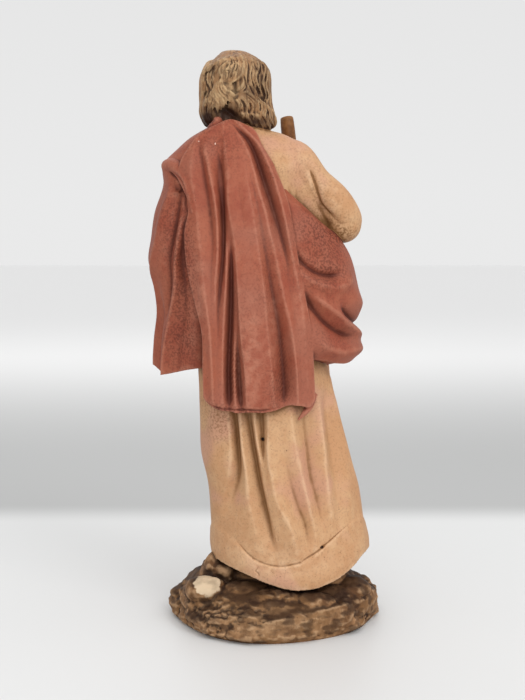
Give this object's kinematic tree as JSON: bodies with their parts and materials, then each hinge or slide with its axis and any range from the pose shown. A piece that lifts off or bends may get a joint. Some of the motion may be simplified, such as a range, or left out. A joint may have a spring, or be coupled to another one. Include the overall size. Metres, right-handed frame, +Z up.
{
  "type": "nativity joseph figurine",
  "caption": "Standing bearded saint in robe and draped mantle, holding a staff, cast in one piece with a rocky mound that it stands on.",
  "frame": {"origin": "middle of the mound's flat underside, on the surface that the figurine stands on", "axes": "+Z up; the figure faces -Y, its back is towards +Y and its left hand towards +X"},
  "size_m": [0.1035, 0.0932, 0.2506],
  "materials": {
    "painted_resin": "matte hand-painted cast resin with a brown wash in the folds"
  },
  "bodies": {
    "root": {"joseph_figurine": "painted_resin"}
  },
  "joints": []
}
